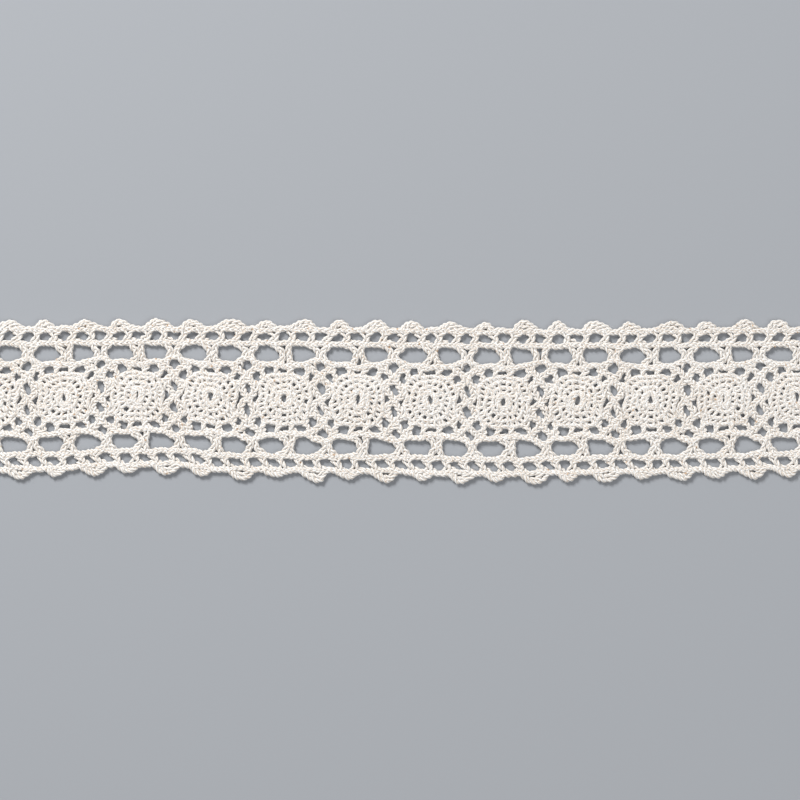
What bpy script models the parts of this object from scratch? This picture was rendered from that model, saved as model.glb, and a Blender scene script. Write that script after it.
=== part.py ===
"""A cut length of cotton bobbin lace trim, lying flat. Metres, +Z up, X runs along the trim."""

import math
from collections import namedtuple

import bmesh
import bpy
from mathutils import Vector
from mathutils.geometry import delaunay_2d_cdt

# Driving dimensions
REPEAT = 0.018  # from the middle of one medallion to the next
LENGTH = 0.1985  # the cut length, a little over eleven repeats
FIRST_MEDALLION = -0.10055  # X of the medallion that the left cut runs through
MEDALLIONS = 12
OVERALL_WIDTH = 0.040  # over the tips of the scallops
SCALLOP_HEIGHT = 0.0019
SCALLOP_HALF_WIDTH = 0.0027
SCALLOP_ROUNDNESS = 1.3
SCALLOP_POINTS = 7

# How many of each lie along one repeat, on each side of the middle
EYELETS = 4
WINDOWS = 2
PLAIT_CROSSINGS = 8

# Thickness of the work: thin at every rim, fuller along each plait and ring
RIM_THICKNESS = 0.0010
PLAIT_THICKNESS = 0.0014

# Rows of the outer bands, as heights above the trim's middle line
EDGE_PLAIT = 0.01705
EYELET_ROW = 0.01545
INNER_PLAIT = 0.0137
WINDOW_ROW = 0.01115
CROSSING = 0.0053
MEDALLION_HALF_WIDTH = 0.0066
MEDALLION_HALF_HEIGHT = 0.0061

# The outer bands sit a little further along than the medallions, and the whole web leans
BAND_SHIFT = 0.00115
SCALLOP_SHIFT = 0.0003
VALLEY_SHIFT = 0.0005
LEAN_PER_METRE = 3.49

END_MARGIN = 0.0007  # the least cloth left between a hole and a cut end

HOLE_BLUNTNESS = 0.75  # 1 rounds a hole's corners to an oval, and less squares them

Hole = namedtuple("Hole", "u v width height lean corners")
Ring = namedtuple("Ring", "share points thickness")
Bow = namedtuple("Bow", "x rise spread")
Wave = namedtuple("Wave", "reach along across phase")

# One half of a repeat, mirrored for the other half. u runs along the trim from the medallion
EYELET = Hole(0.0, EYELET_ROW, 0.0032, 0.0021, 0.10, 6)
WINDOW = Hole(0.0, WINDOW_ROW, 0.0062, 0.0038, 0.20, 9)
VALLEY_HOLE = Hole(REPEAT / 2 + VALLEY_SHIFT, 0.0083, 0.0029, 0.0025, 0.15, 6)
BRIDGE_HOLE = Hole(REPEAT / 2, 0.0030, 0.0020, 0.0032, 0.20, 6)
SHOULDER_HOLE = Hole(0.0067, 0.0055, 0.0020, 0.0026, 0.0, 6)
CROWN_HOLE = Hole(0.0037, 0.0072, 0.0025, 0.0019, 0.0, 6)
CROWN_SLOT = Hole(0.0, 0.0069, 0.0024, 0.0012, 0.0, 5)

MEDALLION_RINGS = [
    Ring(0.98, 12, 0.0011),
    Ring(0.82, 12, 0.0015),
    Ring(0.62, 9, 0.0012),
    Ring(0.40, 7, 0.0015),
    Ring(0.04, 3, 0.0011),
]

# How the trim lies: its middle line strays a little to either side, and it is pulled narrower in places
MIDDLE_LINE = [
    Bow(-0.100, 0.00010, 1.000),
    Bow(-0.091, 0.00017, 0.990),
    Bow(-0.068, 0.00079, 0.968),
    Bow(-0.056, 0.00085, 0.965),
    Bow(-0.041, 0.00017, 1.000),
    Bow(-0.007, -0.00025, 1.003),
    Bow(0.027, -0.00070, 1.010),
    Bow(0.057, -0.00035, 0.994),
    Bow(0.100, 0.00022, 0.980),
]

# Handmade unevenness: short waves that push each crossing a little along and across
WAVES_ALONG = [
    Wave(0.00016, 1130.0, 410.0, 0.7),
    Wave(0.00013, 571.0, -930.0, 2.1),
    Wave(0.00012, 1789.0, 1270.0, 4.4),
]
WAVES_ACROSS = [
    Wave(0.00014, 823.0, 640.0, 1.3),
    Wave(0.00011, 1457.0, -510.0, 5.2),
    Wave(0.00010, 347.0, 1510.0, 3.3),
]


def middle_line(x):
    """The middle line's stray and the share of the full width at x, smooth between the rows."""
    for before, after in zip(MIDDLE_LINE, MIDDLE_LINE[1:]):
        if x < after.x:
            break
    t = min(1.0, max(0.0, (x - before.x) / (after.x - before.x)))
    eased = t * t * (3 - 2 * t)
    rise = before.rise + (after.rise - before.rise) * eased
    spread = before.spread + (after.spread - before.spread) * eased
    return rise, spread


def push(waves, x, y):
    return sum(w.reach * math.sin(w.along * x + w.across * y + w.phase) for w in waves)


def across_at(x, v):
    """The height on the real trim of a point that the straight pattern has at x and v."""
    rise, spread = middle_line(x)
    return v * spread + rise + push(WAVES_ACROSS, x, v)


def lay(x, v):
    """Where a point of the straight pattern lies on the real, uneven trim."""
    leaned = x - LEAN_PER_METRE * v * abs(v)
    return leaned + push(WAVES_ALONG, leaned, v), across_at(leaned, v)


def medallion_middles():
    return [FIRST_MEDALLION + n * REPEAT for n in range(-1, MEDALLIONS + 1)]


def hole_loop(hole, middle, side):
    """The rim of one hole: a blunt oval that leans, laid on the trim."""
    points = []
    for n in range(hole.corners):
        angle = 2 * math.pi * (n + 0.5) / hole.corners
        c, s = math.cos(angle), math.sin(angle)
        across = math.copysign(abs(s) ** HOLE_BLUNTNESS, s) * hole.height / 2
        along = math.copysign(abs(c) ** HOLE_BLUNTNESS, c) * hole.width / 2 - hole.lean * across
        points.append(lay(middle + hole.u + along, side * hole.v + across))
    return points


def holes_of(middle):
    """Every hole that belongs to the medallion at this middle, as loops of points."""
    loops = []
    for side in (1, -1):
        for n in range(EYELETS):
            u = BAND_SHIFT + n * REPEAT / EYELETS
            loops.append(hole_loop(EYELET._replace(u=u), middle, side))
        for n in range(WINDOWS):
            u = BAND_SHIFT + (n + 0.5) * REPEAT / WINDOWS
            loops.append(hole_loop(WINDOW._replace(u=u), middle, side))
        for hole in (VALLEY_HOLE, BRIDGE_HOLE, CROWN_SLOT):
            loops.append(hole_loop(hole, middle, side))
        for turn in (1, -1):
            for hole in (SHOULDER_HOLE, CROWN_HOLE):
                turned = hole._replace(u=turn * hole.u)
                loops.append(hole_loop(turned, middle, side))
    return loops


def clear_of_ends(points):
    reach = LENGTH / 2 - END_MARGIN
    return all(abs(x) < reach for x, _ in points)


def scallop(x, side):
    """Half the trim's width at x: straight cloth with a rounded scallop over every other eyelet."""
    base = OVERALL_WIDTH / 2 - SCALLOP_HEIGHT
    v = side * base
    pitch = REPEAT / 2
    straight = FIRST_MEDALLION + BAND_SHIFT + SCALLOP_SHIFT + REPEAT / 4
    first = straight - LEAN_PER_METRE * v * abs(v)
    off = (x - first + pitch / 2) % pitch - pitch / 2
    if abs(off) > SCALLOP_HALF_WIDTH:
        return base
    rise = math.cos(math.pi / 2 * off / SCALLOP_HALF_WIDTH) ** SCALLOP_ROUNDNESS
    return base + SCALLOP_HEIGHT * rise


def outline():
    """The trim's edge, anticlockwise: the lower scallops, the right cut, the upper ones, the left cut."""
    steps = round(LENGTH / (REPEAT / 2) * SCALLOP_POINTS)
    xs = [-LENGTH / 2 + LENGTH * n / steps for n in range(steps + 1)]
    edges = []
    for side in (-1, 1):
        edges.append([(x, across_at(x, side * scallop(x, side))) for x in xs])
    lower, upper = edges
    return lower + upper[::-1]


def plait_points(middle):
    """Points along the plaits between the holes, where the work is fullest."""
    points = []
    for side in (1, -1):
        for n in range(PLAIT_CROSSINGS):
            u = BAND_SHIFT + n * REPEAT / PLAIT_CROSSINGS
            points.append((middle + u, side * EDGE_PLAIT))
            points.append((middle + u, side * INNER_PLAIT))
        for n in range(EYELETS):
            u = BAND_SHIFT + (n + 0.5) * REPEAT / EYELETS
            points.append((middle + u, side * EYELET_ROW))
        for n in range(WINDOWS):
            u = BAND_SHIFT + n * REPEAT / WINDOWS
            points.append((middle + u, side * WINDOW_ROW))
        points.append((middle + REPEAT / 2, side * CROSSING))
    points.append((middle + REPEAT / 2, 0.0))
    return [lay(x, v) for x, v in points]


def medallion_ring(ring, middle):
    points = []
    for n in range(ring.points):
        angle = 2 * math.pi * (n + 0.5) / ring.points
        u = math.cos(angle) * MEDALLION_HALF_WIDTH * ring.share
        v = math.sin(angle) * MEDALLION_HALF_HEIGHT * ring.share
        points.append(lay(middle + u, v))
    return points


def flat_web():
    """The web seen from above: points with their thickness, and the triangles between the holes."""
    points, thickness, edges, faces = [], [], [], []

    def add_points(places, height):
        start = len(points)
        points.extend(Vector(p) for p in places)
        thickness.extend([height] * len(places))
        return list(range(start, start + len(places)))

    def add_loop(loop, height):
        numbers = add_points(loop, height)
        edges.extend(zip(numbers, numbers[1:] + numbers[:1]))
        return numbers

    faces.append(add_loop(outline(), RIM_THICKNESS))
    holes = 0
    for middle in medallion_middles():
        for loop in holes_of(middle):
            if clear_of_ends(loop):
                faces.append(add_loop(loop, RIM_THICKNESS))
                holes += 1
        for ring in MEDALLION_RINGS:
            loop = medallion_ring(ring, middle)
            if clear_of_ends(loop):
                add_loop(loop, ring.thickness)
            else:
                add_points([p for p in loop if clear_of_ends([p])], ring.thickness)
        plaits = [p for p in plait_points(middle) if clear_of_ends([p])]
        add_points(plaits, PLAIT_THICKNESS)

    tolerance = 1e-7
    flat, _, triangles, sources, _, owners = delaunay_2d_cdt(points, edges, faces, 0, tolerance)
    kept = [t for t, owner in zip(triangles, owners) if owner == [0]]
    heights = [max(thickness[n] for n in source) for source in sources]
    print(f"{holes} holes cut, {len(kept)} triangles on each side")
    return flat, heights, kept


def cotton():
    """Undyed cotton yarn, off-white and matt."""
    material = bpy.data.materials.new("cotton_lace")
    material.use_nodes = True
    shader = material.node_tree.nodes["Principled BSDF"]
    shader.inputs["Base Color"].default_value = (0.84, 0.81, 0.76, 1.0)
    shader.inputs["Roughness"].default_value = 0.9
    shader.inputs["Metallic"].default_value = 0.0
    return material


def lace_band():
    """The flat web pulled up to its thickness, with a flat underside at the origin's height."""
    flat, heights, triangles = flat_web()
    used = sorted({n for t in triangles for n in t})
    low = Vector((min(flat[n].x for n in used), min(flat[n].y for n in used)))
    high = Vector((max(flat[n].x for n in used), max(flat[n].y for n in used)))
    centre = (low + high) / 2

    mesh = bpy.data.meshes.new("lace_band")
    bm = bmesh.new()
    corner = {n: bm.verts.new((flat[n].x - centre.x, flat[n].y - centre.y, 0.0)) for n in used}
    underside = [bm.faces.new([corner[n] for n in t]) for t in triangles]
    raised = {corner[n].co.copy().freeze(): heights[n] for n in used}
    pulled = bmesh.ops.extrude_face_region(bm, geom=underside, use_keep_orig=True)
    for item in pulled["geom"]:
        if isinstance(item, bmesh.types.BMVert):
            item.co.z = raised[item.co.copy().freeze()]
    bmesh.ops.recalc_face_normals(bm, faces=bm.faces)
    bm.to_mesh(mesh)
    bm.free()
    mesh.materials.append(cotton())
    band = bpy.data.objects.new("lace_band", mesh)
    bpy.context.scene.collection.objects.link(band)
    print("middle moved by", [round(c * 1000, 3) for c in centre], "mm")
    return band


def main():
    for obj in list(bpy.data.objects):
        bpy.data.objects.remove(obj)
    lace_band()


main()
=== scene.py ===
# %% [markdown]
# # A length of cotton lace, yarn by yarn
#
# This trim is bobbin lace: nothing in it is cut or printed. Cotton yarns are plaited into narrow
# bands, the bands cross to leave rows of holes, and round woven medallions fill the middle.
# A flat sheet with a picture of holes would look right only from straight above, so here every
# yarn is a real tube. Python draws the line that each plait follows, one repeat of the pattern
# after another. Geometry Nodes then turn each line into its plaited strands. The solid model,
# loaded as the frame, gives the length that the yarns are cut to.

# %% Load the frame
import math
from collections import namedtuple

import bpy
import numpy as np
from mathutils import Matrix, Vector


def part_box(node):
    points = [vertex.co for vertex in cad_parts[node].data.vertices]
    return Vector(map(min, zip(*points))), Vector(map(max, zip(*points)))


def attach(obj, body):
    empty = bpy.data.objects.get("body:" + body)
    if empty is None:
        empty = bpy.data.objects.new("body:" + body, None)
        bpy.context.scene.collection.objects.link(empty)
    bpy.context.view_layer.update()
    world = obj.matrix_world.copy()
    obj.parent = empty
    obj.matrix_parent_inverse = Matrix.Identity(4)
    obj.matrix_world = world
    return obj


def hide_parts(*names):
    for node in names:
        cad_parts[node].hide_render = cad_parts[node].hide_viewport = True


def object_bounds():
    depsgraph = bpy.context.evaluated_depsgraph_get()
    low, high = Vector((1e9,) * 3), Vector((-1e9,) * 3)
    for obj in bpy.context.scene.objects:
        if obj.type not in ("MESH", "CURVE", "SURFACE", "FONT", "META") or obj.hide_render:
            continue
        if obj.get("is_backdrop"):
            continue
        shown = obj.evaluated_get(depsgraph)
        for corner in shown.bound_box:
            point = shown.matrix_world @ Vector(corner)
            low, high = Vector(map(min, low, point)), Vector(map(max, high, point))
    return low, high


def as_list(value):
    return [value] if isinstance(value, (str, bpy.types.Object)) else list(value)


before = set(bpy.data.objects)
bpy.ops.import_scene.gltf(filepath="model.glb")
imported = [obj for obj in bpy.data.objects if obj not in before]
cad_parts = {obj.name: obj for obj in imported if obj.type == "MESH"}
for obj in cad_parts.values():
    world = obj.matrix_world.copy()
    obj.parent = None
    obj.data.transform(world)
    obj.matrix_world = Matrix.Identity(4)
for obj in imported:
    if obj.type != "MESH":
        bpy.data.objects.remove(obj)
cad_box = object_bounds()
low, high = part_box("lace_band")
LENGTH = high.x - low.x
print(f"The frame is {LENGTH * 1000:.1f} mm long and {(high.y - low.y) * 1000:.1f} mm wide")

# %% [markdown]
# ## The pattern's sizes
#
# A lace pattern is a few rows, told as heights above the middle line, and one repeat that comes
# again along the trim. All sizes here are metres on the real trim. They follow the solid's own
# sizes, moved by less than half a millimetre where single yarns show a place better than smooth
# bands do. `u` runs along the trim from the middle of a medallion, and `v` runs across it.

# %% Sizes of the pattern
REPEAT = 0.018
FIRST_MEDALLION = -0.10015
MEDALLIONS = 12

EDGE_PLAIT = 0.01718
INNER_PLAIT = 0.0138
WINDOW_LINE = 0.0088
ARCH = 0.0081
CROSSING = 0.0056

print(f"One repeat is {REPEAT * 1000:.0f} mm, and {LENGTH / REPEAT:.1f} repeats fit the length")


# %% [markdown]
# ## How the trim lies
#
# Handmade lace is never quite straight. The middle line strays by less than a millimetre, the
# trim is pulled narrower in two places, and each crossing sits a little off its place. One
# function moves every point of the straight pattern to where it lies on the real trim.

# %% Lay the straight pattern on the uneven trim
LEAN_PER_METRE = 3.49
MIDDLE_SHIFT = 0.00026
BRIDGE_SLANT = 0.0005
BRIDGE_MIDDLE = 0.0030
SLANT_REACH = 0.0075

Bow = namedtuple("Bow", "x rise spread")
Wave = namedtuple("Wave", "reach along across phase")

MIDDLE_LINE = [
    Bow(-0.100, 0.00010, 1.000),
    Bow(-0.091, 0.00017, 0.990),
    Bow(-0.068, 0.00079, 0.968),
    Bow(-0.056, 0.00085, 0.965),
    Bow(-0.041, 0.00017, 1.000),
    Bow(-0.007, -0.00025, 1.003),
    Bow(0.027, -0.00070, 1.010),
    Bow(0.057, -0.00035, 0.994),
    Bow(0.100, 0.00022, 0.980),
]
WAVES_ALONG = [
    Wave(0.00016, 1130.0, 410.0, 0.7),
    Wave(0.00013, 571.0, -930.0, 2.1),
    Wave(0.00012, 1789.0, 1270.0, 4.4),
]
WAVES_ACROSS = [
    Wave(0.00014, 823.0, 640.0, 1.3),
    Wave(0.00011, 1457.0, -510.0, 5.2),
    Wave(0.00010, 347.0, 1510.0, 3.3),
]


def eased(x, column):
    """One column of the middle line's table at each x, smooth between its rows."""
    xs = np.array([row.x for row in MIDDLE_LINE])
    values = np.array([getattr(row, column) for row in MIDDLE_LINE])
    n = np.clip(np.searchsorted(xs, x, side="right") - 1, 0, len(xs) - 2)
    t = np.clip((x - xs[n]) / (xs[n + 1] - xs[n]), 0, 1)
    return values[n] + (values[n + 1] - values[n]) * t * t * (3 - 2 * t)


def push(waves, x, v):
    return sum(w.reach * np.sin(w.along * x + w.across * v + w.phase) for w in waves)


def slant(x, v):
    """How far the narrow holes between two medallions lean, which is the same way on both sides."""
    between = 0.5 - 0.5 * np.cos(math.tau * (x - FIRST_MEDALLION) / REPEAT)
    near = np.clip(1 - (v / SLANT_REACH) ** 2, 0, 1) ** 2
    return BRIDGE_SLANT * between**2 * near * np.sin(math.pi * v / BRIDGE_MIDDLE)


def lay(x, v):
    """Where points of the straight pattern lie on the real trim, seen from above."""
    leaned = x - LEAN_PER_METRE * v * abs(v) + slant(x, v)
    across = v * eased(leaned, "spread") + eased(leaned, "rise") + push(WAVES_ACROSS, leaned, v)
    return leaned + push(WAVES_ALONG, leaned, v), across + MIDDLE_SHIFT


strayed = max(abs(row.rise) for row in MIDDLE_LINE)
print(f"The middle line strays by up to {strayed * 1000:.2f} mm")


# %% [markdown]
# ## Lines for the yarns to follow
#
# A plait here is three yarns that keep changing places, and the eye reads it as one soft band. So
# the script first draws only the band's middle line. Each line carries four numbers at every
# point: `turn` says how many times the plait has gone round, `swing` how far its yarns go to
# either side, `level` how high it runs and `thick` how full its yarns are. Where a short bar
# joins a long plait, its yarns bend off to both sides and slip in between the others. That widens
# the swing at the bar's two ends, and it is what makes the holes of lace round and not square.

# %% Smooth lines with a turn count
Line = namedtuple("Line", "u v level swing turn thick closed")
Stop = namedtuple("Stop", "u v swing")

STEP = 0.00019
PITCH = 0.0036
SAMPLES = 17
ENTRY = 0.00062
ENTRY_SLOPE = 0.5
TAPER = 0.00045
THIN_END = 0.3
TUCK = 0.00015


def smooth(stops):
    """Evenly spaced points on a soft curve through the stops, one row of numbers for each."""
    stops = np.array(stops, float)
    ends = np.vstack([2 * stops[0] - stops[1], stops, 2 * stops[-1] - stops[-2]])
    t = np.linspace(0, 1, SAMPLES)[:, None]
    pieces = []
    for a, b, c, d in zip(ends, ends[1:], ends[2:], ends[3:]):
        bend = (2 * a - 5 * b + 4 * c - d) * t**2 + (3 * b - a - 3 * c + d) * t**3
        pieces.append((b + ((c - a) * t + bend) / 2)[:-1])
    dense = np.vstack([*pieces, stops[-1:]])
    run = run_along(dense)
    wanted = np.linspace(0, run[-1], max(4, round(run[-1] / STEP) + 1))
    return np.column_stack([np.interp(wanted, run, column) for column in dense.T])


def run_along(points):
    steps = np.linalg.norm(np.diff(points[:, :2], axis=0), axis=1)
    return np.concatenate([[0], np.cumsum(steps)])


def long_plait(make_stops, side=1, alternate=False, level=0.0, pitch=PITCH):
    """A plait over the whole trim. Its stops are made again, a little unevenly, for each repeat.

    With `alternate`, it runs on the other side of the middle line in every second repeat.
    """
    every = []
    for n in range(-1, MEDALLIONS + 1):
        facing = -side if alternate and n % 2 else side
        every += [(n * REPEAT + stop.u, facing * stop.v, stop.swing) for stop in make_stops()]
    points = smooth(every)
    flat = np.full(len(points), level)
    turn = side * run_along(points) / pitch
    return Line(points[:, 0], points[:, 1], flat, points[:, 2], turn, np.ones(len(points)), False)


def corner(distance, radius):
    """How much further yarns reach at a distance from the bar's end, for a hole's round corner."""
    near = (distance - ENTRY) / radius
    inside = np.clip(1 - near, 0, 1)
    return radius * (1 - np.sqrt(1 - inside**2)) + np.clip(ENTRY - distance, 0, None) * ENTRY_SLOPE


def bar(stops, swing, corners, quarters=4, level=0.0):
    """A short plait that spreads out at both ends and sinks in. It turns by whole quarters."""
    points = smooth(stops)
    run = run_along(points)
    wide = swing + corner(run, corners[0]) + corner(run[-1] - run, corners[1])
    clear = np.clip(np.minimum(run, run[-1] - run) / TAPER, 0, 1)
    height = level - TUCK * (1 - clear)
    turn = run / run[-1] * quarters / 4
    thick = THIN_END + (1 - THIN_END) * clear
    return Line(points[:, 0], points[:, 1], height, wide, turn, thick, False)


def repeated(make):
    """The lines that a function makes, called again for every repeat with fresh unevenness."""
    lines = []
    for n in range(-1, MEDALLIONS + 1):
        lines += [line._replace(u=line.u + n * REPEAT) for line in make()]
    return lines


def mirrored(line, side=-1):
    return line._replace(v=line.v * side, turn=line.turn * side)


random = np.random.default_rng(11)


def uneven(reach):
    """A small random distance, different each time, as in handwork."""
    return random.uniform(-reach, reach)


print(f"A plait goes round once every {PITCH * 1000:.1f} mm, in steps of {STEP * 1000:.2f} mm")


# %% [markdown]
# ## The two scalloped edges
#
# Each edge is a plait that runs the whole length, with a row of eyelets inside it and small
# scallops outside. A scallop is a twisted pair of yarns that leaves the plait, swings out round
# a short filling and comes back. It could be one wavy ribbon, but two yarns twisted round each
# other give the corded rim that shows against the ground. Every second scallop is larger.

# %% Edge plaits, eyelet bars and scallops
Scallop = namedtuple("Scallop", "middle rise half_width")

EYELETS = 4
EYELET_SHIFT = 0.0008
BAR_LEANS = [0.00022, 0.00025, 0.00035, 0.00013]
BAR_SWING = 0.00049
BAR_CORNERS = (0.0011, 0.0010)
EDGE_SWING = 0.00036
INNER_SWING = 0.00042

SCALLOPS = [Scallop(0.0061, 0.00175, 0.0034), Scallop(0.0146, 0.00150, 0.0026)]
RIM_REST = 0.00036
RIM_SWING = 0.00028
RIM_PITCH = 0.0026
RIM_ROUNDNESS = 1.1
FILLING_SWING = 0.00026
FILLING_RISE = 0.45
FILLING_REACH = 0.6


def edge_plait():
    for n in range(EYELETS):
        yield Stop(n * REPEAT / EYELETS, EDGE_PLAIT + uneven(0.00006), EDGE_SWING)


def inner_plait():
    for n in range(EYELETS):
        yield Stop(n * REPEAT / EYELETS, INNER_PLAIT + uneven(0.00008), INNER_SWING)


def eyelet_bars():
    bars = []
    for side in (1, -1):
        for n, lean in enumerate(BAR_LEANS):
            u = EYELET_SHIFT + (n + 0.5) * REPEAT / EYELETS + uneven(0.0002)
            lean += uneven(0.00012)
            stops = [
                (u - lean, INNER_PLAIT),
                (u - lean, INNER_PLAIT + ENTRY),
                (u + lean, EDGE_PLAIT - ENTRY),
                (u + lean, EDGE_PLAIT),
            ]
            corners = [radius + uneven(0.0002) for radius in BAR_CORNERS]
            swing = BAR_SWING + uneven(0.00006)
            bars.append(mirrored(bar(stops, swing, corners, quarters=3), side))
    return bars


def scallop_rim():
    """The twisted pair that swings out round each scallop."""
    for scallop in SCALLOPS:
        middle = scallop.middle + uneven(0.0003)
        rise = scallop.rise + uneven(0.0002)
        for share in np.linspace(-1, 1, 9):
            out = rise * math.cos(math.pi / 2 * share) ** RIM_ROUNDNESS
            u = middle + share * scallop.half_width
            yield Stop(u, EDGE_PLAIT + RIM_REST + out, RIM_SWING)


def scallop_fillings():
    """A twisted pair that goes up and down inside each scallop, so that only a pinhole stays."""
    fillings = []
    for side in (1, -1):
        for scallop in SCALLOPS:
            top = EDGE_PLAIT + RIM_REST + scallop.rise * FILLING_RISE
            reach = scallop.half_width * FILLING_REACH
            stops = [
                (scallop.middle - reach, EDGE_PLAIT),
                (scallop.middle - reach * 0.5, top + uneven(0.0001)),
                (scallop.middle + reach * 0.5, top + uneven(0.0001)),
                (scallop.middle + reach, EDGE_PLAIT),
            ]
            fillings.append(mirrored(bar(stops, FILLING_SWING, (0.0001, 0.0001), quarters=7), side))
    return fillings


print(f"In one repeat each edge has {EYELETS} eyelets and {len(SCALLOPS)} scallops")


# %% [markdown]
# ## Windows and the ground round the medallions
#
# The large windows stand between two plaits. What parts one window from the next is a pair of
# plaits that come together in the middle and part again, so that a pinhole stays above and
# below. Under the windows two long plaits run in great zigzags: each goes over one medallion,
# crosses its twin between the medallions and goes under the next. Their crossings leave the
# ring of small holes, and at its knees each one hands yarns to the medallion beside it.

# %% Window posts, window line and the two zigzag plaits
VALLEY = 0.0092
VALLEY_RISE = [
    (-0.0029, 0.0002),
    (-0.0015, 0.0009),
    (0.0, 0.0012),
    (0.0015, 0.0009),
    (0.0029, 0.0002),
]
POST_HEIGHTS = [0.0140, 0.0129, 0.0119, 0.0109, 0.0098, 0.0086]
POST_PLACES = [
    [-0.0021, -0.0008, 0.0001, 0.0002, -0.0001, -0.0010],
    [0.0021, 0.0017, 0.0015, 0.0016, 0.0017, 0.0022],
    [0.0070, 0.0079, 0.0086, 0.0087, 0.0082, 0.0070],
    [0.0119, 0.0112, 0.0103, 0.0101, 0.0105, 0.0116],
]
LOWER_SHIFTS = [0.0003, -0.0001, 0.0008, 0.0004]
POST_FOOT = (0.0088, 0.0109)
POST_SWING = 0.00054


def window_line():
    """The plait under the windows, which lifts over the hole between two medallions."""
    yield Stop(0.0006, WINDOW_LINE - 0.0005, 0.00032)
    yield Stop(0.0022, WINDOW_LINE - 0.0002, 0.00034)
    yield Stop(0.0045, WINDOW_LINE - 0.0001, 0.00034)
    for along, up in VALLEY_RISE:
        yield Stop(VALLEY + along, WINDOW_LINE + up, 0.00036)
    yield Stop(0.0140, WINDOW_LINE + 0.0001, 0.00034)
    yield Stop(0.0166, WINDOW_LINE, 0.00034)


def window_posts():
    """Two plaits that meet in the middle of each post and part again above and below."""
    posts = []
    for side in (1, -1):
        for places, lower_shift in zip(POST_PLACES, LOWER_SHIFTS):
            moved = np.interp(POST_HEIGHTS, POST_FOOT, (0, lower_shift if side < 0 else 0))
            shift = uneven(0.0001)
            stops = [
                (u + extra + shift + uneven(0.00006), v)
                for u, extra, v in zip(places, moved, POST_HEIGHTS)
            ]
            posts.append(mirrored(bar(stops, POST_SWING, (0.0002, 0.0003), quarters=5), side))
    return posts


def zigzag():
    """From over one medallion, through three crossings, to under the next."""
    half = REPEAT / 2
    yield Stop(0.0, ARCH, 0.00036)
    yield Stop(0.0018, ARCH, 0.00036)
    yield Stop(0.0028, ARCH + 0.0001, 0.00036)
    yield Stop(0.0039, ARCH + 0.0004, 0.00036)
    yield Stop(0.0053, ARCH + 0.0004, 0.00046)
    yield Stop(0.0067, 0.0077, 0.00056)
    yield Stop(0.0080, 0.0066, 0.00058)
    yield Stop(half, CROSSING, 0.00092)
    yield Stop(half + 0.0012, 0.0042, 0.00058)
    yield Stop(half + 0.0018, 0.0029, 0.00076)
    yield Stop(half + 0.0013, 0.0015, 0.00060)
    yield Stop(half, 0.0, 0.00050)
    yield Stop(half - 0.0013, -0.0015, 0.00060)
    yield Stop(half - 0.0018, -0.0029, 0.00076)
    yield Stop(half - 0.0012, -0.0042, 0.00058)
    yield Stop(half, -CROSSING, 0.00092)
    yield Stop(0.0100, -0.0066, 0.00058)
    yield Stop(0.0113, -0.0077, 0.00056)
    yield Stop(0.0127, -ARCH - 0.0005, 0.00046)
    yield Stop(0.0144, -ARCH - 0.0007, 0.00036)
    yield Stop(0.0155, -ARCH - 0.0005, 0.00036)
    yield Stop(0.0166, -ARCH - 0.0001, 0.00036)


def arch_bars():
    """Short bars that part the small holes round each medallion from one another."""
    bars = []
    for side in (1, -1):
        for turn, away in ((1, 0.0), (-1, 0.0007)):
            upright = [
                (turn * 0.0017 + uneven(0.00015), 0.0060),
                (turn * 0.0019 + uneven(0.00015), ARCH + away * 0.6),
            ]
            slanting = [
                (turn * 0.0048, 0.0050),
                (turn * (0.0057 - away * 0.6) + uneven(0.00012), 0.0064),
                (turn * (0.0065 - away), 0.0078),
            ]
            knee = [
                (turn * 0.0054, 0.0034),
                (turn * 0.0066, 0.0038 + uneven(0.00015)),
                (turn * 0.0078, 0.0041),
            ]
            bars.append(mirrored(bar(upright, 0.00032, (0.0003, 0.0005), quarters=2), side))
            bars.append(mirrored(bar(slanting, 0.00034, (0.0006, 0.0006), quarters=4), side))
            low_knee = bar(knee, 0.00045, (0.0002, 0.0002), quarters=3, level=-0.0001)
            bars.append(mirrored(low_knee, side))
    return bars


print(f"{len(POST_PLACES)} short plaits make {len(POST_PLACES) // 2} posts in one repeat of each row")


# %% [markdown]
# ## The medallions
#
# A medallion is a round piece of weaving. Yarns go round it in rings, and a second yarn laces
# each ring to the next: over the outer one, down through the gap, under the inner one and back.
# The laced legs stand one pinhole apart, which gives the rings of dots. They start again at the
# top and the bottom, so a seam of wider pinholes runs up the middle to a slit.

# %% Rings and lacing of a medallion
Ring = namedtuple("Ring", "half_width half_height middle squareness")

RINGS = [
    Ring(0.00620, 0.00598, 0.00005, 3.3),
    Ring(0.00460, 0.00475, 0.0002, 2.8),
    Ring(0.00305, 0.00345, 0.0003, 2.4),
    Ring(0.00170, 0.00215, 0.0003, 2.1),
    Ring(0.00102, 0.00156, 0.0003, 2.0),
]
LEG_GAPS = [0.0012, 0.0012, 0.00108, 0.0010]
LEG_UNEVENNESS = 0.18
SEAM_GAP = 0.0017
LACING_LIFT = 0.00012
RING_PITCH = 0.0024
RING_SWING = 0.00024


def on_ring(ring, angle):
    """A point of the ring at this angle, which is 0 at the top and grows to the right."""
    s, c = math.sin(angle), math.cos(angle)
    power = 2 / ring.squareness
    u = math.copysign(abs(s) ** power, s) * ring.half_width
    v = math.copysign(abs(c) ** power, c) * ring.half_height
    return u, ring.middle + v


def between(inner, outer, share):
    return Ring(*[a + (b - a) * share for a, b in zip(inner, outer)])


def half_arc(ring, count=400):
    """The right half of a ring, from top to bottom: its angles and how far along each one is."""
    angles = np.linspace(0, np.pi, count)
    return angles, run_along(np.array([on_ring(ring, a) for a in angles]))


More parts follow.
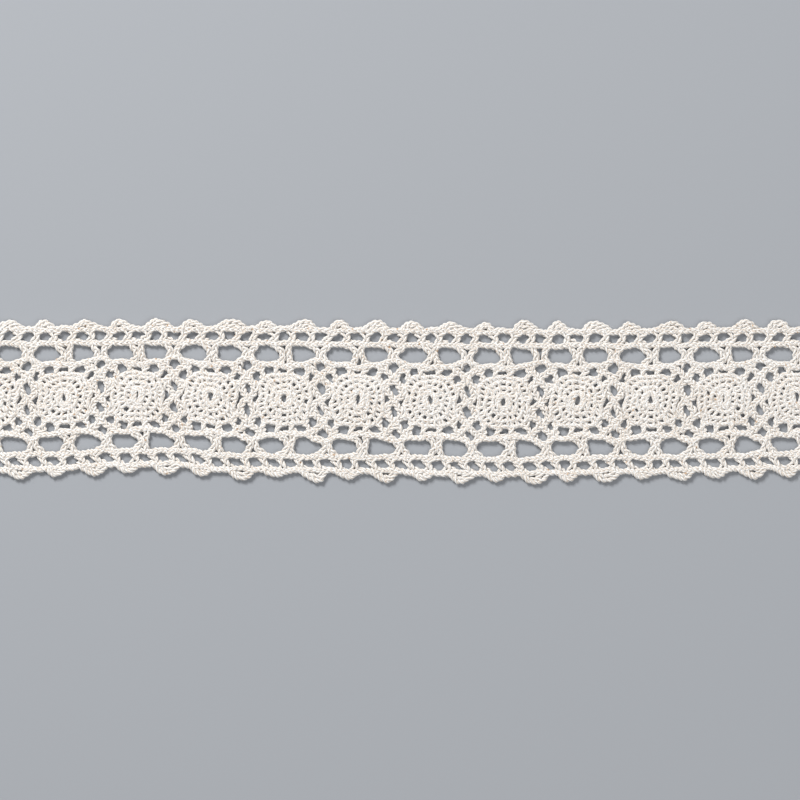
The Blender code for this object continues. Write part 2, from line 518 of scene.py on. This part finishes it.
def leg_angles(ring, gap):
    """Angles of the laced legs on the right half, about a gap apart and clear of the seam."""
    angles, run = half_arc(ring)
    clear = run[-1] - SEAM_GAP
    count = max(2, round(clear / gap) + 1)
    places = SEAM_GAP / 2 + np.linspace(0, clear, count)
    places += random.uniform(-1, 1, count) * LEG_UNEVENNESS * gap
    return np.interp(places, run, angles)


def ring_yarns():
    """The plait that goes round each ring."""
    lines = []
    for ring in RINGS:
        angles, run = half_arc(ring)
        even = np.interp(np.linspace(0, run[-1], round(run[-1] / STEP)), run, angles)
        around = np.concatenate([even[:-1], 2 * np.pi - even[:0:-1]])
        points = np.array([on_ring(ring, a) for a in around])
        whole = max(1, round(2 * run[-1] / RING_PITCH))
        turn = np.linspace(0, whole, len(points), endpoint=False)
        flat = np.zeros(len(points))
        swing = flat + RING_SWING
        lines.append(Line(points[:, 0], points[:, 1], flat, swing, turn, flat + 1, True))
    return lines


def lacings():
    """The yarn that laces each ring to the next, once round the medallion."""
    lines = []
    for outer, inner, gap in zip(RINGS, RINGS[1:], LEG_GAPS):
        right = leg_angles(between(inner, outer, 0.5), gap)
        left = leg_angles(between(inner, outer, 0.5), gap)
        legs = np.concatenate([right, 2 * np.pi - left[::-1]])
        stops = []
        for n, angle in enumerate(legs):
            following = legs[(n + 1) % len(legs)] + (2 * np.pi if n + 1 == len(legs) else 0)
            outward = n % 2 == 0
            shares = (0.15, 0.5, 0.85) if outward else (0.85, 0.5, 0.15)
            for share in shares:
                stops.append((*on_ring(between(inner, outer, share), angle), (share - 0.5) * 2))
            turn = 1.02 if outward else -0.02
            middle = (angle + following) / 2
            stops.append((*on_ring(between(inner, outer, turn), middle), (turn - 0.5) * 2))
        points = smooth([*stops, stops[0]])
        flat = np.zeros(len(points))
        level = points[:, 2] * LACING_LIFT
        lines.append(Line(points[:, 0], points[:, 1], level, flat, flat, flat + 1, False))
    return lines


print(f"A medallion has {len(RINGS)} rings, and {len(LEG_GAPS)} lacings join them")


# %% [markdown]
# ## The lines, laid on the trim
#
# `lay` now bends every line onto the real, uneven trim. What the next step needs is kept as
# attributes of a mesh that has only points and edges.

# %% Store the lines as a mesh
MIDDLE_LEVEL = 0.00084


def guide(name, lines):
    """A mesh of bare edges that follows the lines and keeps their other numbers."""
    places, edges = [], []
    for line in lines:
        x, y = lay(FIRST_MEDALLION + line.u, line.v)
        start = len(places)
        places += zip(x, y, MIDDLE_LEVEL + line.level)
        edges += [(i, i + 1) for i in range(start, len(places) - 1)]
        if line.closed:
            edges.append((len(places) - 1, start))
    mesh = bpy.data.meshes.new(name)
    mesh.from_pydata(places, edges, [])
    for field in ("turn", "swing", "thick"):
        values = np.concatenate([getattr(line, field) for line in lines])
        mesh.attributes.new(field, "FLOAT", "POINT").data.foreach_set("value", values)
    obj = bpy.data.objects.new(name, mesh)
    bpy.context.scene.collection.objects.link(obj)
    print(f"{name}: {len(lines)} lines with {len(places)} points")
    return obj


# %% [markdown]
# ## Node trees written as sums
#
# Node trees are easier to read as arithmetic. `Value` wraps one socket, and Python's own signs
# between two values add the Math or Vector Math node for them. Every other node comes from one
# method, `add`, which takes its type, its settings and what its sockets hold.

# %% Sockets that can be added and multiplied
class Value:
    """One output socket. Signs between values add the nodes that work them out."""

    def __init__(self, tree, socket):
        self.tree = tree
        self.socket = socket

    def is_vector(self):
        return self.socket.type in ("VECTOR", "RGBA")

    def sum_with(self, operation, first, second):
        vectors = [isinstance(x, Value) and x.is_vector() for x in (first, second)]
        if not any(vectors):
            return self.tree.math(operation, first, second)
        if operation == "MULTIPLY" and not all(vectors):
            vector, number = (first, second) if vectors[0] else (second, first)
            return self.tree.vector("SCALE", {0: vector, "Scale": number})
        return self.tree.vector(operation, {0: first, 1: second})

    def __add__(self, other):
        return self.sum_with("ADD", self, other)

    def __radd__(self, other):
        return self.sum_with("ADD", other, self)

    def __sub__(self, other):
        return self.sum_with("SUBTRACT", self, other)

    def __rsub__(self, other):
        return self.sum_with("SUBTRACT", other, self)

    def __mul__(self, other):
        return self.sum_with("MULTIPLY", self, other)

    def __rmul__(self, other):
        return self.sum_with("MULTIPLY", other, self)

    def __truediv__(self, other):
        return self.sum_with("DIVIDE", self, other)


class Tree:
    """A node tree of either kind, with one method that adds any node."""

    def __init__(self, nodes_tree):
        self.nodes = nodes_tree.nodes
        self.links = nodes_tree.links

    def add(self, kind, settings=None, sockets=None):
        node = self.nodes.new(kind)
        for name, value in (settings or {}).items():
            setattr(node, name, value)
        for name, value in (sockets or {}).items():
            if isinstance(value, Value):
                self.links.new(value.socket, node.inputs[name])
            else:
                node.inputs[name].default_value = value
        return node

    def value(self, node, output=0):
        return Value(self, node.outputs[output])

    def math(self, operation, *values):
        node = self.add("ShaderNodeMath", {"operation": operation}, dict(enumerate(values)))
        return self.value(node)

    def vector(self, operation, sockets):
        return self.value(self.add("ShaderNodeVectorMath", {"operation": operation}, sockets))

    def combine(self, x, y, z):
        return self.value(self.add("ShaderNodeCombineXYZ", None, {0: x, 1: y, 2: z}))

    def separate(self, vector):
        node = self.add("ShaderNodeSeparateXYZ", None, {0: vector})
        return [self.value(node, axis) for axis in "XYZ"]


# %% Begin and end a geometry tree
def begin_tree(name, inputs):
    """A new tree with these named inputs: its group, its wrapper and a value for each input."""
    group = bpy.data.node_groups.new(name, "GeometryNodeTree")
    for label, kind, default in inputs:
        socket = group.interface.new_socket(label, in_out="INPUT", socket_type=kind)
        if default is not None:
            socket.default_value = default
    group.interface.new_socket("Result", in_out="OUTPUT", socket_type="NodeSocketGeometry")
    tree = Tree(group)
    given = tree.add("NodeGroupInput")
    return group, tree, {label: tree.value(given, label) for label, _, _ in inputs}


def end_tree(tree, geometry, material):
    """Every tree ends the same way, with the material on real geometry."""
    finish = tree.add("GeometryNodeSetMaterial", None, {"Geometry": geometry, "Material": material})
    real = tree.add("GeometryNodeRealizeInstances", None, {"Geometry": tree.value(finish)})
    tree.add("NodeGroupOutput", None, {"Result": tree.value(real)})


# %% [markdown]
# ## From a line to its yarns
#
# The tree copies each line once for each strand and moves every copy sideways and up by waves
# of its turn count. For three strands the height wave goes round twice as fast as the sideways
# one, which is just what lifts each yarn over the next and drops it under the one after. The
# trim is then cut to length, a little unevenly, and a yarn with three plies is swept along each
# strand. The twist of the plies comes from the curve's tilt.

# %% The tree that plaits and sweeps
YARN_RADIUS = 0.00039
PLIES = 3
PLY_DEPTH = 0.06
YARN_SIDES = 6
PRESSED = 0.80
SLUBS_PER_METRE = 260.0
THINNEST, SLUB = 0.82, 0.36
YARN_ENDS_PER_METRE = 1900.0

PLAIT_INPUTS = [
    ("Lines", "NodeSocketGeometry", None),
    ("Strands", "NodeSocketInt", 3),
    ("Lift", "NodeSocketFloat", 0.00025),
    ("Yarn Radius", "NodeSocketFloat", YARN_RADIUS),
    ("Step", "NodeSocketFloat", 0.00030),
    ("Ply Pitch", "NodeSocketFloat", 0.0036),
    ("Trim Length", "NodeSocketFloat", LENGTH),
    ("Ragged Ends", "NodeSocketFloat", 0.00035),
    ("Seed", "NodeSocketInt", 1),
    ("Finish", "NodeSocketMaterial", None),
]


def plait_tree():
    group, tree, asked = begin_tree("plait_yarns", PLAIT_INPUTS)
    curve = tree.value(tree.add("GeometryNodeMeshToCurve", None, {"Mesh": asked["Lines"]}), "Curve")
    copies = tree.add(
        "GeometryNodeDuplicateElements",
        {"domain": "SPLINE"},
        {"Geometry": curve, "Amount": asked["Strands"]},
    )
    strands = asked["Strands"] * 1.0
    number = tree.value(copies, "Duplicate Index")
    turn = stored_number(tree, "turn")
    swing = stored_number(tree, "swing")
    round_by = (turn + number / strands) * math.tau
    sideways = tree.math("SINE", round_by) * swing
    odd = tree.math("MODULO", strands, 2.0)
    height = tree.math("COSINE", round_by * (strands - 1.0) - odd * (math.pi / 2)) * asked["Lift"]
    tangent = tree.value(tree.add("GeometryNodeInputTangent"))
    left = tree.vector("NORMALIZE", {0: tree.vector("CROSS_PRODUCT", {0: (0, 0, 1), 1: tangent})})
    moved = tree.add(
        "GeometryNodeSetPosition",
        None,
        {"Geometry": tree.value(copies), "Offset": left * sideways + tree.combine(0, 0, height)},
    )

    even = tree.add(
        "GeometryNodeResampleCurve",
        {"mode": "LENGTH"},
        {"Curve": tree.value(moved), "Length": asked["Step"]},
    )
    cut = cut_to_length(tree, tree.value(even), asked)
    end_tree(tree, sweep_yarn(tree, cut, asked), asked["Finish"])
    return group


def stored_number(tree, name):
    node = tree.add("GeometryNodeInputNamedAttribute", {"data_type": "FLOAT"}, {"Name": name})
    return tree.value(node, "Attribute")


def cut_to_length(tree, curve, asked):
    """Drops what lies past the two cut ends, each yarn at its own slightly different length."""
    bare = tree.value(tree.add("GeometryNodeCurveToMesh", None, {"Curve": curve}))
    x, y, _ = tree.separate(tree.value(tree.add("GeometryNodeInputPosition")))
    end = tree.combine(y * YARN_ENDS_PER_METRE, tree.math("SIGN", x), 0)
    ragged = tree.add(
        "ShaderNodeTexNoise",
        {"noise_dimensions": "2D"},
        {"Vector": end, "Detail": 0.0},
    )
    reach = asked["Trim Length"] * 0.5 - tree.value(ragged) * asked["Ragged Ends"]
    past = tree.math("GREATER_THAN", tree.math("ABSOLUTE", x), reach)
    kept = tree.add(
        "GeometryNodeDeleteGeometry", {"domain": "POINT"}, {"Geometry": bare, "Selection": past}
    )
    return tree.value(tree.add("GeometryNodeMeshToCurve", None, {"Mesh": tree.value(kept)}), "Curve")


def sweep_yarn(tree, curve, asked):
    """A twisted yarn of several plies along each strand, with its own coordinates stored on it."""
    along = tree.value(tree.add("GeometryNodeSplineParameter"), "Length")
    shift = tree.add(
        "FunctionNodeRandomValue",
        {"data_type": "FLOAT"},
        {"Max": 1.0, "ID": spline_number(tree), "Seed": asked["Seed"]},
    )
    start = tree.value(shift, 1)
    upright = tree.add("GeometryNodeSetCurveNormal", {"mode": "Z_UP"}, {"Curve": curve})
    tilt = (along / asked["Ply Pitch"] + start) * math.tau
    tilted = tree.add("GeometryNodeSetCurveTilt", None, {"Curve": tree.value(upright), "Tilt": tilt})
    slub = tree.add(
        "ShaderNodeTexNoise",
        {"noise_dimensions": "2D"},
        {"Vector": tree.combine(along * SLUBS_PER_METRE, start * 90.0, 0), "Detail": 1.0},
    )
    full = asked["Yarn Radius"] * stored_number(tree, "thick")
    radius = full * (tree.value(slub) * SLUB + THINNEST)
    sized = tree.add(
        "GeometryNodeSetCurveRadius", None, {"Curve": tree.value(tilted), "Radius": radius}
    )
    strand = store(tree, tree.value(sized), "along", "FLOAT", along + start * 0.1)

    ring = tree.add("GeometryNodeCurvePrimitiveCircle", None, {"Resolution": YARN_SIDES, "Radius": 1.0})
    angle = tree.value(tree.add("GeometryNodeSplineParameter")) * math.tau
    spoke = tree.combine(tree.math("COSINE", angle), tree.math("SINE", angle), 0)
    around = store(tree, tree.value(ring), "around", "FLOAT_VECTOR", spoke)
    bulge = tree.math("COSINE", angle * float(PLIES)) * PLY_DEPTH + 1.0
    place = tree.value(tree.add("GeometryNodeInputPosition"))
    lobed = tree.add("GeometryNodeSetPosition", None, {"Geometry": around, "Position": place * bulge})
    tube = tree.add(
        "GeometryNodeCurveToMesh",
        None,
        {
            "Curve": strand,
            "Profile Curve": tree.value(lobed),
            "Scale": tree.value(tree.add("GeometryNodeInputRadius")),
            "Fill Caps": True,
        },
    )
    smoothed = tree.add("GeometryNodeSetShadeSmooth", None, {"Geometry": tree.value(tube)})
    pressed = tree.combine(1.0, 1.0, PRESSED)
    flat = tree.add(
        "GeometryNodeSetPosition",
        None,
        {"Geometry": tree.value(smoothed), "Position": tree.vector("MULTIPLY", {0: place, 1: pressed})},
    )
    return tree.value(flat)


def spline_number(tree):
    """The number of the spline that a point belongs to."""
    index = tree.add("GeometryNodeInputIndex")
    node = tree.add(
        "GeometryNodeFieldOnDomain", {"domain": "CURVE", "data_type": "INT"}, {0: tree.value(index)}
    )
    return tree.value(node)


def store(tree, geometry, name, kind, value):
    node = tree.add(
        "GeometryNodeStoreNamedAttribute",
        {"data_type": kind, "domain": "POINT"},
        {"Geometry": geometry, "Name": name, "Value": value},
    )
    return tree.value(node)


# %% [markdown]
# ## Cotton
#
# Undyed cotton is a warm white with no shine. What gives it away is small: plies that part in
# soft grooves, fibres that lie along them and a rare brown fleck of seed. The grooves are
# painted browner as painted shade, and fibres and clouds make the tone differ at random.
# Plies and fibres follow the yarn, so the material reads two attributes that the sweep stored.
# `along` runs down the yarn, and `around` points out from its middle. The cosine of three times
# that angle gives the three plies, and as a sum of powers it has no seam.

# %% Cotton yarn material
COTTON = (0.865, 0.860, 0.845)
# Painted shade: the ply grooves are darkened towards this colour, and random fibre and cloud tone mixes
# towards it too.
COTTON_TONE_AND_PAINTED_SHADE = (0.60, 0.49, 0.38)
SEED_FLECK = (0.50, 0.31, 0.16)
COTTON_ROUGHNESS = 0.82

# Weight of the painted shade in the ply grooves; the fibre and cloud weights are random tone.
GROOVE_PAINTED_SHADE = 0.8
FIBRE_SHADE = 0.4
CLOUD_SHADE = 0.35
CLEAN = 0.44
FIBRE_STRETCH = 420.0
CLOUD_SCALE = 140.0
FLECK_SCALE = 1100.0


def cotton_yarn():
    material = bpy.data.materials.new("cotton_yarn")
    material.use_nodes = True
    material.node_tree.nodes.clear()
    tree = Tree(material.node_tree)
    along = tree.value(tree.add("ShaderNodeAttribute", {"attribute_name": "along"}), "Fac")
    around = tree.value(tree.add("ShaderNodeAttribute", {"attribute_name": "around"}), "Vector")
    place = tree.value(tree.add("ShaderNodeTexCoord"), "Object")

    out = tree.separate(tree.vector("NORMALIZE", {0: around}))[0]
    ply = (4 * out * out * out - 3 * out) * 0.5 + 0.5
    fibre = noise(tree, around * 1.6 + tree.combine(0, 0, along * FIBRE_STRETCH), 2.2, 3.0)
    cloudy = noise(tree, place, CLOUD_SCALE, 2.0)
    spots = noise(tree, place, FLECK_SCALE, 0.0)
    fleck = tree.add(
        "ShaderNodeMapRange",
        None,
        {"Value": spots, "From Min": 0.775, "From Max": 0.825, "To Max": 0.8},
    )

    # Painted shade in the grooves between plies, plus random darker tone from fibres and clouds.
    painted_shade_and_tone = (1 - ply) * GROOVE_PAINTED_SHADE + (1 - fibre) * FIBRE_SHADE + (1 - cloudy) * CLOUD_SHADE - CLEAN
    colour = mix(tree, painted_shade_and_tone, COTTON, COTTON_TONE_AND_PAINTED_SHADE)
    colour = mix(tree, tree.value(fleck), colour, SEED_FLECK)
    height = ply * 0.6 + fibre * 0.4
    bump = tree.add("ShaderNodeBump", None, {"Strength": 0.5, "Distance": 0.00008, "Height": height})
    shader = tree.add(
        "ShaderNodeBsdfPrincipled",
        None,
        {
            "Base Color": colour,
            "Roughness": fibre * 0.12 + COTTON_ROUGHNESS,
            "Specular IOR Level": 0.25,
            "Sheen Weight": 0.25,
            "Sheen Roughness": 0.5,
            "Normal": tree.value(bump),
        },
    )
    tree.add("ShaderNodeOutputMaterial", None, {"Surface": tree.value(shader)})
    return material


def noise(tree, place, scale, detail):
    node = tree.add("ShaderNodeTexNoise", None, {"Vector": place, "Scale": scale, "Detail": detail})
    return tree.value(node)


def mix(tree, share, first, second):
    """A mix of two colours, each a colour's three numbers or another node's value."""
    colours = [c if isinstance(c, Value) else (*c, 1.0) for c in (first, second)]
    node = tree.add(
        "ShaderNodeMix",
        {"data_type": "RGBA", "clamp_factor": True},
        {"Factor": share, 6: colours[0], 7: colours[1]},
    )
    return tree.value(node, 2)


# %% [markdown]
# ## Make the pieces
#
# The yarns come out in six pieces, by the work they do. A modifier's inputs are set by their
# identifiers, and the finished tubes are kept as plain meshes, so nothing stays live.

# %% Grow a mesh and show it
def grown(obj, group, sizes):
    """The plain mesh that a geometry tree makes from an object. The object itself is dropped."""
    modifier = obj.modifiers.new(group.name, "NODES")
    modifier.node_group = group
    for item in group.interface.items_tree:
        if item.name in sizes:
            modifier[item.identifier] = sizes[item.name]
    evaluated = obj.evaluated_get(bpy.context.evaluated_depsgraph_get())
    mesh = bpy.data.meshes.new_from_object(evaluated)
    bpy.data.objects.remove(obj)
    return mesh


def joined(name, meshes):
    """One object from several meshes."""
    parts = [bpy.data.objects.new(name, mesh) for mesh in meshes]
    for part in parts:
        bpy.context.scene.collection.objects.link(part)
    if len(parts) > 1:
        with bpy.context.temp_override(active_object=parts[0], selected_editable_objects=parts):
            bpy.ops.object.join()
    return parts[0]


def shown(name, meshes):
    """A finished piece, with its number of triangles printed."""
    piece = joined(name, meshes)
    triangles = sum(len(face.vertices) - 2 for face in piece.data.polygons)
    print(f"{name}: {triangles} triangles")
    return piece


# %% Plait every piece
cotton = cotton_yarn()
plait = plait_tree()
print(f"The cotton has {len(cotton.node_tree.nodes)} nodes, the plaiting tree {len(plait.nodes)}")


def yarns(name, lines, sizes):
    """Plaited yarns along the lines, as a plain mesh."""
    return grown(guide(name, lines), plait, {"Finish": cotton, "Trim Length": LENGTH, **sizes})


def both_sides(make_stops, **how):
    return [long_plait(make_stops, side, **how) for side in (1, -1)]


thin_pair = {"Strands": 2, "Lift": 0.00026}
ring_plait = {"Lift": 0.0002, "Yarn Radius": 0.00041, "Step": 0.00044, "Seed": 1}
lacing_yarn = {"Strands": 1, "Yarn Radius": 0.00050, "Step": 0.00043, "Seed": 2}

medallions = shown(
    "medallions",
    [
        yarns("rings", repeated(ring_yarns), ring_plait),
        yarns("lacing", repeated(lacings), lacing_yarn),
    ],
)
ground = shown("ground", [yarns("zigzags", both_sides(zigzag, alternate=True), {"Seed": 3})])
arches = shown(
    "arches",
    [
        yarns("arch_bars", repeated(arch_bars), {"Seed": 4}),
        yarns("window_line", both_sides(window_line, level=0.00004), {"Seed": 5}),
    ],
)
posts = shown("window_posts", [yarns("posts", repeated(window_posts), {"Seed": 6})])
eyelet_rows = shown(
    "eyelet_rows",
    [
        yarns("inner_plait", both_sides(inner_plait), {"Seed": 7}),
        yarns("eyelet_bars", repeated(eyelet_bars), {"Seed": 8}),
    ],
)
edges = shown(
    "scalloped_edges",
    [
        yarns("edge_plait", both_sides(edge_plait), {"Seed": 9}),
        yarns("scallop_rims", both_sides(scallop_rim, pitch=RIM_PITCH), {**thin_pair, "Seed": 10}),
        yarns("scallop_fillings", repeated(scallop_fillings), {**thin_pair, "Seed": 11}),
    ],
)
pieces = [medallions, ground, arches, posts, eyelet_rows, edges]

# %% [markdown]
# ## Loose fibres
#
# Cotton yarn is spun from short fibres, and their ends stand off it as a fine fuzz. It blurs the
# edges of the lace a little. Points are scattered over all the yarns, and each one gets a short
# fibre that leaves the surface and bends over.

# %% The tree that grows the fuzz
FIBRE_RADIUS = 0.000011
FIBRE_SIDES = 3
FIBRE_STEPS = 3
SHORTEST, LONGEST = 0.35, 1.3

FUZZ_INPUTS = [
    ("Yarns", "NodeSocketGeometry", None),
    ("Density", "NodeSocketFloat", 220000.0),
    ("Length", "NodeSocketFloat", 0.0009),
    ("Radius", "NodeSocketFloat", FIBRE_RADIUS),
    ("Seed", "NodeSocketInt", 21),
    ("Finish", "NodeSocketMaterial", None),
]


def fuzz_tree():
    group, tree, asked = begin_tree("grow_fuzz", FUZZ_INPUTS)
    points = tree.add(
        "GeometryNodeDistributePointsOnFaces",
        {"distribute_method": "RANDOM"},
        {"Mesh": asked["Yarns"], "Density": asked["Density"], "Seed": asked["Seed"]},
    )
    fibre = tree.add(
        "GeometryNodeCurvePrimitiveBezierSegment",
        {"mode": "POSITION"},
        {
            "Resolution": FIBRE_STEPS,
            "Start": (0, 0, 0),
            "Start Handle": (0.05, 0, 0.35),
            "End Handle": (0.45, 0.1, 0.55),
            "End": (0.95, -0.15, 0.35),
        },
    )
    size = random_number(tree, SHORTEST, LONGEST, asked["Seed"])
    placed = tree.add(
        "GeometryNodeInstanceOnPoints",
        None,
        {
            "Points": tree.value(points),
            "Instance": tree.value(fibre),
            "Rotation": tree.value(points, "Rotation"),
            "Scale": size * asked["Length"],
        },
    )
    spin = random_number(tree, 0.0, math.tau, asked["Seed"] + 1.0)
    turned = tree.add(
        "GeometryNodeRotateInstances",
        None,
        {"Instances": tree.value(placed), "Rotation": tree.combine(0, 0, spin)},
    )
    curves = tree.add("GeometryNodeRealizeInstances", None, {"Geometry": tree.value(turned)})
    ring = tree.add(
        "GeometryNodeCurvePrimitiveCircle",
        None,
        {"Resolution": FIBRE_SIDES, "Radius": asked["Radius"]},
    )
    hair = tree.add(
        "GeometryNodeCurveToMesh",
        None,
        {"Curve": tree.value(curves), "Profile Curve": tree.value(ring)},
    )
    end_tree(tree, kept_above_floor(tree, tree.value(hair), asked["Radius"]), asked["Finish"])
    return group


def random_number(tree, least, most, seed):
    node = tree.add(
        "FunctionNodeRandomValue", {"data_type": "FLOAT"}, {2: least, 3: most, "Seed": seed}
    )
    return tree.value(node, 1)


def kept_above_floor(tree, geometry, least):
    """Lifts every point that is lower than `least` to that height."""
    z = tree.separate(tree.value(tree.add("GeometryNodeInputPosition")))[2]
    lifted = tree.combine(0, 0, tree.math("MAXIMUM", z, least) - z)
    raised = tree.add("GeometryNodeSetPosition", None, {"Geometry": geometry, "Offset": lifted})
    return tree.value(raised)


# %% Grow the fuzz on all yarns
all_yarns = joined("all_yarns", [piece.data.copy() for piece in pieces])
fuzz = shown("cotton_fuzz", [grown(all_yarns, fuzz_tree(), {"Finish": cotton})])
pieces.append(fuzz)

# %% [markdown]
# ## What stands for what
#
# Every piece rides on the one body and stands for the solid band.

# %% Ride and replace
for piece in pieces:
    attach(piece, "root")
    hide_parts("lace_band")
print(f"{len(pieces)} pieces stand for the band")

# %% [markdown]
# ## Floor, light and camera
#
# The trim lies flat and is seen from straight above, so a large soft light from the upper left
# draws each yarn and a weak one opposite keeps the hollows open. The floor is plain and pale,
# but greyer than the cotton, so that the holes read. The Standard view leaves white cotton
# white, where the usual view would turn it grey.

# %% Floor
FLOOR_COLOUR = (0.340, 0.355, 0.378, 1.0)
FLOOR_ROUGHNESS = 0.95
FLOOR_SIZE = 6.0


def floor():
    half = FLOOR_SIZE / 2
    corners = [(-half, -half, 0), (half, -half, 0), (half, half, 0), (-half, half, 0)]
    mesh = bpy.data.meshes.new("floor")
    mesh.from_pydata(corners, [], [(0, 1, 2, 3)])
    material = bpy.data.materials.new("floor")
    material.use_nodes = True
    shader = material.node_tree.nodes["Principled BSDF"]
    shader.inputs["Base Color"].default_value = FLOOR_COLOUR
    shader.inputs["Roughness"].default_value = FLOOR_ROUGHNESS
    mesh.materials.append(material)
    obj = bpy.data.objects.new("floor", mesh)
    bpy.context.scene.collection.objects.link(obj)
    return obj


table = floor()
table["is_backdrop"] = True
print(f"The floor is {FLOOR_SIZE:.0f} m across")

# %% Lights
Lamp = namedtuple("Lamp", "name place size power")

LAMPS = [
    Lamp("key", (-0.50, 0.80, 0.70), 0.35, 15.5),
    Lamp("fill", (0.60, -0.50, 0.90), 0.80, 4.5),
]
SKY = (0.97, 0.98, 1.0, 1.0)
SKY_STRENGTH = 0.35

bpy.context.scene.view_settings.view_transform = "Standard"

for lamp in LAMPS:
    light = bpy.data.lights.new(lamp.name, "AREA")
    light.size = lamp.size
    light.energy = lamp.power
    obj = bpy.data.objects.new(lamp.name, light)
    obj.location = lamp.place
    obj.rotation_mode = "QUATERNION"
    obj.rotation_quaternion = (-obj.location).to_track_quat("-Z", "Y")
    bpy.context.scene.collection.objects.link(obj)
    print(f"The {lamp.name} light is {lamp.size:.2f} m wide and {obj.location.length:.2f} m away")

world = bpy.data.worlds.new("soft_room")
world.use_nodes = True
sky = world.node_tree.nodes["Background"]
sky.inputs["Color"].default_value = SKY
sky.inputs["Strength"].default_value = SKY_STRENGTH
bpy.context.scene.world = world

# %% Camera straight above
VIEW_WIDTH = 0.19646
VIEW_MIDDLE = (0.00032, 0.00023)
CAMERA_HEIGHT = 0.9
SENSOR_WIDTH = 36.0
LACE_TOP = 0.0007

camera_data = bpy.data.cameras.new("camera")
camera_data.sensor_width = SENSOR_WIDTH
camera_data.lens = SENSOR_WIDTH * (CAMERA_HEIGHT - LACE_TOP) / VIEW_WIDTH
camera_data.clip_start = 0.01
camera = bpy.data.objects.new("camera", camera_data)
camera.location = (*VIEW_MIDDLE, CAMERA_HEIGHT)
bpy.context.scene.collection.objects.link(camera)
bpy.context.scene.camera = camera
print(f"The camera looks straight down on {VIEW_WIDTH * 1000:.0f} mm of the trim")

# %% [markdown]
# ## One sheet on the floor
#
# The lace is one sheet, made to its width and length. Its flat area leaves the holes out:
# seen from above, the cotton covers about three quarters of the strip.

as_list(pieces[1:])

# %% Keep the two boxes and finish
visual_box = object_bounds()
boxes = {"cad": cad_box, "visual": visual_box}
{name: [list(corner) for corner in box] for name, box in boxes.items()}
print("Visual box in mm:", [[round(c * 1000, 2) for c in corner] for corner in visual_box])
